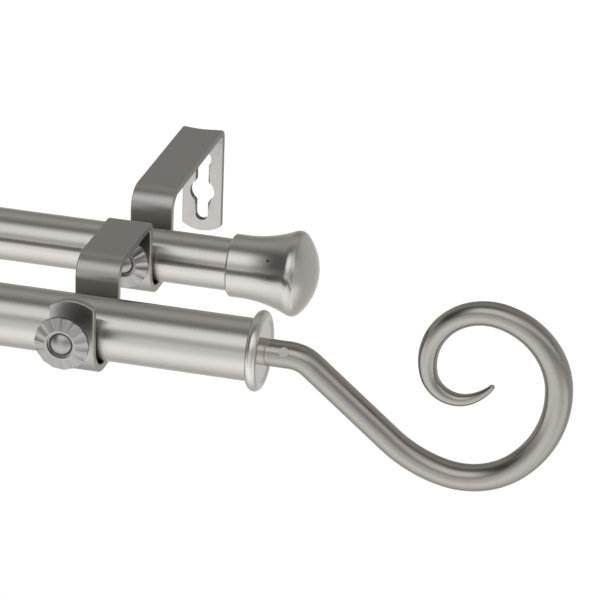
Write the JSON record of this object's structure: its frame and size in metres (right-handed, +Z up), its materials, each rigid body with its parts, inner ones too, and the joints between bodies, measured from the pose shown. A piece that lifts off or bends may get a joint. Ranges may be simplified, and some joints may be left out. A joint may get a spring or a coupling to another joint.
{
  "type": "double curtain pole",
  "caption": "Double telescoping curtain pole on folded strip wall brackets, with scroll finials on the front pole, flared domed caps on the rear pole and fluted thumbscrews.",
  "frame": {"origin": "on the wall plane, midway between the brackets, at the height of the front pole's axis", "axes": "+X along the poles, +Y into the wall, +Z up"},
  "size_m": [1.0056, 0.2071, 0.0824],
  "materials": {
    "bracket_strip": "satin nickel plate, lightly brushed",
    "pole_tube": "satin nickel plate, lightly brushed",
    "thumbscrew_head": "satin nickel plate, lightly brushed",
    "screw_steel": "satin nickel plate, lightly brushed",
    "finial_rod": "satin nickel plate, lightly brushed",
    "turned_end": "satin nickel plate, lightly brushed"
  },
  "bodies": {
    "wall_set": {"right_bracket": "bracket_strip", "left_bracket": "bracket_strip", "front_outer_tube": "pole_tube", "rear_outer_tube": "pole_tube", "right_front_collar": "turned_end", "right_scroll_finial": "finial_rod", "right_finial_stud": "screw_steel", "right_finial_pin": "screw_steel", "right_rear_cap": "turned_end"},
    "front_slider": {"front_inner_tube": "pole_tube", "left_front_collar": "turned_end", "left_scroll_finial": "finial_rod", "left_finial_stud": "screw_steel", "left_finial_pin": "screw_steel"},
    "rear_slider": {"rear_inner_tube": "pole_tube", "left_rear_cap": "turned_end"},
    "right_front_thumbscrew": {"right_front_knob": "thumbscrew_head", "right_front_screw": "screw_steel"},
    "right_rear_thumbscrew": {"right_rear_knob": "thumbscrew_head", "right_rear_screw": "screw_steel"},
    "left_front_thumbscrew": {"left_front_knob": "thumbscrew_head", "left_front_screw": "screw_steel"},
    "left_rear_thumbscrew": {"left_rear_knob": "thumbscrew_head", "left_rear_screw": "screw_steel"}
  },
  "joints": [
    {"name": "front_pole_slide", "type": "slide", "parent": "wall_set", "child": "front_slider", "axis": [-1, 0, 0], "range_m": [-0.0397, 0.5]},
    {"name": "rear_pole_slide", "type": "slide", "parent": "wall_set", "child": "rear_slider", "axis": [-1, 0, 0], "range_m": [-0.0197, 0.48]},
    {"name": "right_front_screw_turn", "type": "hinge", "parent": "wall_set", "child": "right_front_thumbscrew", "pos_m": [0.305, -0.1898, 0.00585], "axis": [0, -1, 0], "continuous": true},
    {"name": "right_rear_screw_turn", "type": "hinge", "parent": "wall_set", "child": "right_rear_thumbscrew", "pos_m": [0.305, -0.1127, 0.00675], "axis": [0, -1, 0], "continuous": true},
    {"name": "left_front_screw_turn", "type": "hinge", "parent": "wall_set", "child": "left_front_thumbscrew", "pos_m": [-0.305, -0.1898, 0.00585], "axis": [0, -1, 0], "continuous": true},
    {"name": "left_rear_screw_turn", "type": "hinge", "parent": "wall_set", "child": "left_rear_thumbscrew", "pos_m": [-0.305, -0.1127, 0.00675], "axis": [0, -1, 0], "continuous": true}
  ]
}
